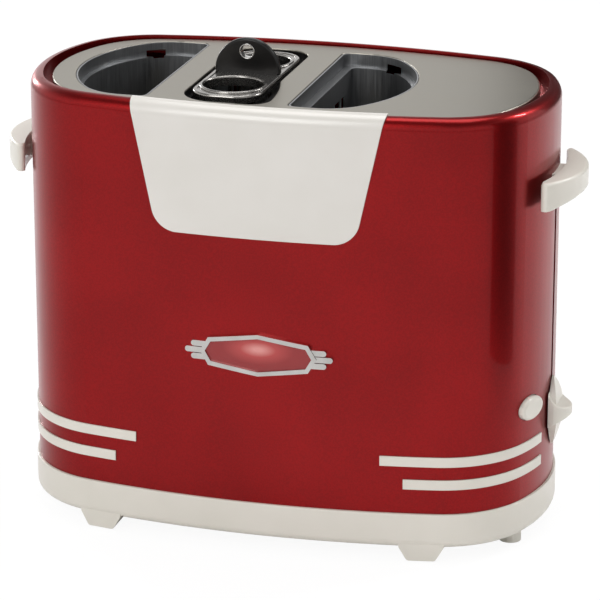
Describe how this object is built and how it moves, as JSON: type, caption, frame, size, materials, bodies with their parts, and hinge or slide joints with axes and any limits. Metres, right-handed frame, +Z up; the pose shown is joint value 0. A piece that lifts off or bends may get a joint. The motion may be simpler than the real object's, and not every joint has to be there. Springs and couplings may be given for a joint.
{
  "type": "hot dog toaster",
  "caption": "Retro pop-up toaster with an oval body: half-round slots for buns and a lift-out basket for sausages, a lever and a push button at one end.",
  "frame": {"origin": "on the table, under the middle of the overall footprint", "axes": "+X along the body towards the lever end, -Y towards the front with the badge, +Z up"},
  "size_m": [0.325, 0.1688, 0.265],
  "materials": {
    "candy_red_paint": "gloss",
    "cream_plastic": "satin",
    "champagne_steel": "satin",
    "well_steel": "satin",
    "black_plastic": "gloss",
    "chrome_wire": "polished",
    "zinc_steel": "matte",
    "mica_sheet": "matte",
    "heating_ribbon": "satin",
    "bush_brass": "satin",
    "magnet_coil": "matte",
    "circuit_board": "matte",
    "switch_plastic": "matte",
    "foot_rubber": "matte",
    "screw_steel": "satin",
    "badge_silver": "polished"
  },
  "bodies": {
    "housing": {"outer_shell": "candy_red_paint", "top_plate": "champagne_steel", "basket_collar": "black_plastic", "chamber_side_walls": "well_steel", "chamber_end_walls": "well_steel", "left_bun_liner": "well_steel", "right_bun_liner": "well_steel", "left_bun_guard": "zinc_steel", "right_bun_guard": "zinc_steel", "left_heater_board": "mica_sheet", "right_heater_board": "mica_sheet", "left_heater_ribbon": "heating_ribbon", "right_heater_ribbon": "heating_ribbon", "chassis_floor": "zinc_steel", "left_end_panel": "zinc_steel", "mechanism_panel": "zinc_steel", "guide_rod": "screw_steel", "rod_brackets": "zinc_steel", "return_spring": "screw_steel", "magnet_bracket": "zinc_steel", "latch_magnet": "magnet_coil", "control_board": "circuit_board", "board_parts": "switch_plastic", "cancel_switch": "switch_plastic", "button_guide": "black_plastic", "right_handle": "cream_plastic", "left_handle": "cream_plastic", "handle_screws": "screw_steel", "base_skirt": "cream_plastic", "foot_pads": "foot_rubber", "bottom_plate": "cream_plastic", "base_screws": "screw_steel", "cord_grommet": "black_plastic", "terminal_block": "switch_plastic", "front_plate": "cream_plastic", "badge_bezel": "badge_silver", "badge_field": "candy_red_paint", "badge_wings": "badge_silver", "front_stripes": "cream_plastic"},
    "carriage": {"slide_plate": "zinc_steel", "carriage_bush": "bush_brass", "latch_armature": "zinc_steel", "lifting_bars": "zinc_steel", "left_bun_rack": "zinc_steel", "right_bun_rack": "zinc_steel", "lever_arm": "zinc_steel", "lever_knob": "cream_plastic"},
    "basket": {"basket_frame": "chrome_wire", "cage_floor": "chrome_wire", "cage_wires": "chrome_wire", "cage_hoops": "chrome_wire", "basket_grip": "black_plastic", "grip_eyelet": "chrome_wire"},
    "cancel_button_body": {"cancel_button": "cream_plastic"},
    "crumb_tray_body": {"crumb_tray": "zinc_steel"}
  },
  "joints": [
    {"name": "carriage_slide", "type": "slide", "parent": "housing", "child": "carriage", "axis": [0, 0, 1], "range_m": [0, 0.104], "deforming": ["return_spring"]},
    {"name": "basket_lift", "type": "slide", "parent": "carriage", "child": "basket", "axis": [0, 0, 1], "range_m": [0, 0.15]},
    {"name": "cancel_press", "type": "slide", "parent": "housing", "child": "cancel_button_body", "axis": [-0.9483, 0.3173, 0], "range_m": [0, 0.002], "stiffness_N_per_m": 300},
    {"name": "crumb_tray_pull", "type": "slide", "parent": "housing", "child": "crumb_tray_body", "axis": [0, 1, 0], "range_m": [0, 0.11]}
  ]
}
